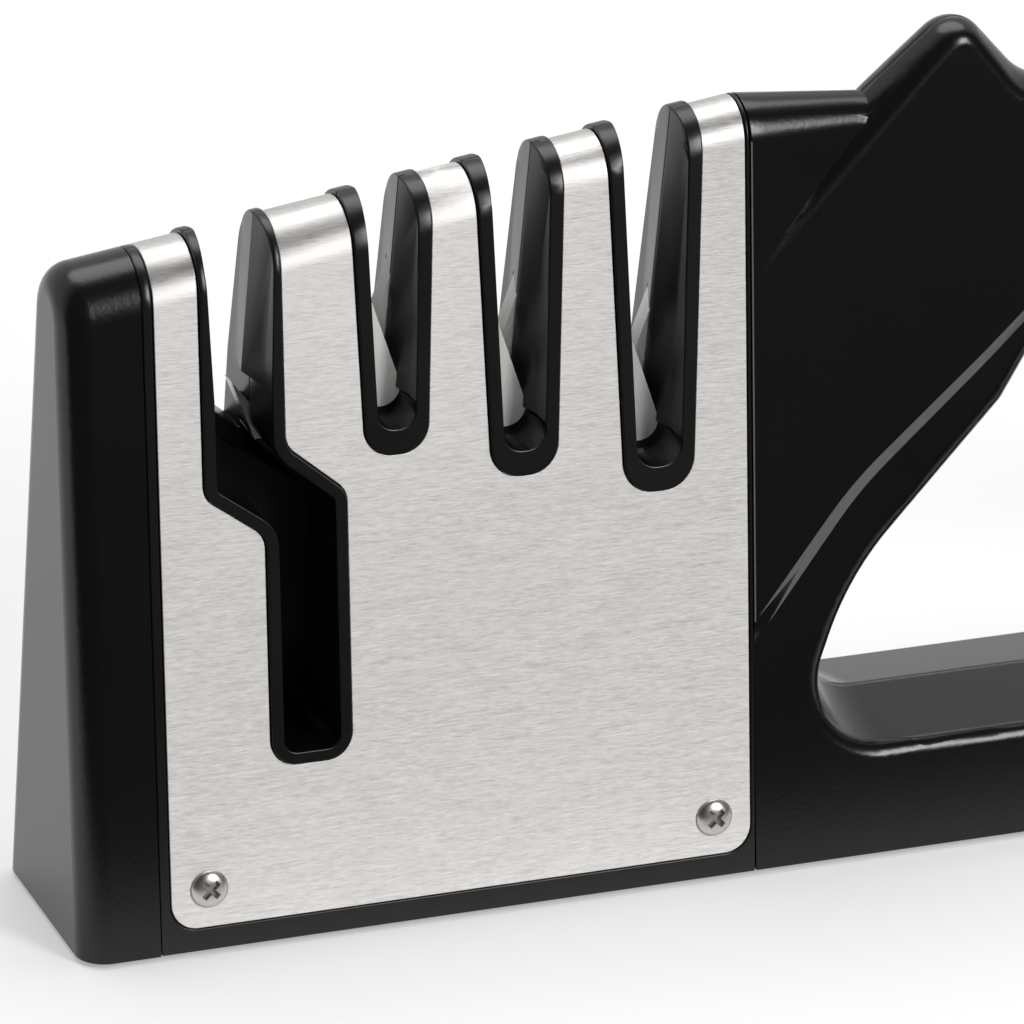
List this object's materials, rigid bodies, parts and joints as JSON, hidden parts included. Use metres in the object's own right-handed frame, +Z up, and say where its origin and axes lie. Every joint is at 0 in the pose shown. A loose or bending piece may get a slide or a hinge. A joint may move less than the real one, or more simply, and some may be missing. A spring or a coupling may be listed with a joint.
{
  "type": "knife and scissors sharpener",
  "caption": "Hand-held pull-through knife and scissors sharpener with a slotted head, brushed steel cover and loop handle.",
  "frame": {"origin": "on the surface it stands on, under the middle of the whole object", "axes": "+X towards the tail of the handle, +Y towards the back, +Z up"},
  "size_m": [0.1884, 0.0266, 0.0859],
  "materials": {
    "black_shell": "fine satin moulded grain",
    "black_core": "smooth satin moulding",
    "brushed_cover": "lengthwise brushed",
    "ceramic": "smooth fired ceramic",
    "diamond_steel": "fine abrasive grit",
    "carbide": "ground carbide",
    "foot_rubber": "matt",
    "screw_steel": "polished pan head"
  },
  "bodies": {
    "root": {"end_cap": "black_shell", "core_front": "black_core", "core_back": "black_core", "steel_cover": "brushed_cover", "ceramic_bar_front": "ceramic", "ceramic_bar_back": "ceramic", "diamond_bar_front": "diamond_steel", "diamond_bar_back": "diamond_steel", "carbide_bar_front": "carbide", "carbide_bar_back": "carbide", "scissor_plate": "ceramic", "handle_front": "black_shell", "handle_back": "black_shell", "foot_head_front": "foot_rubber", "foot_head_back": "foot_rubber", "foot_tail_front": "foot_rubber", "foot_tail_back": "foot_rubber", "cover_screws": "screw_steel", "core_screws": "screw_steel", "handle_screws": "screw_steel"}
  },
  "joints": []
}
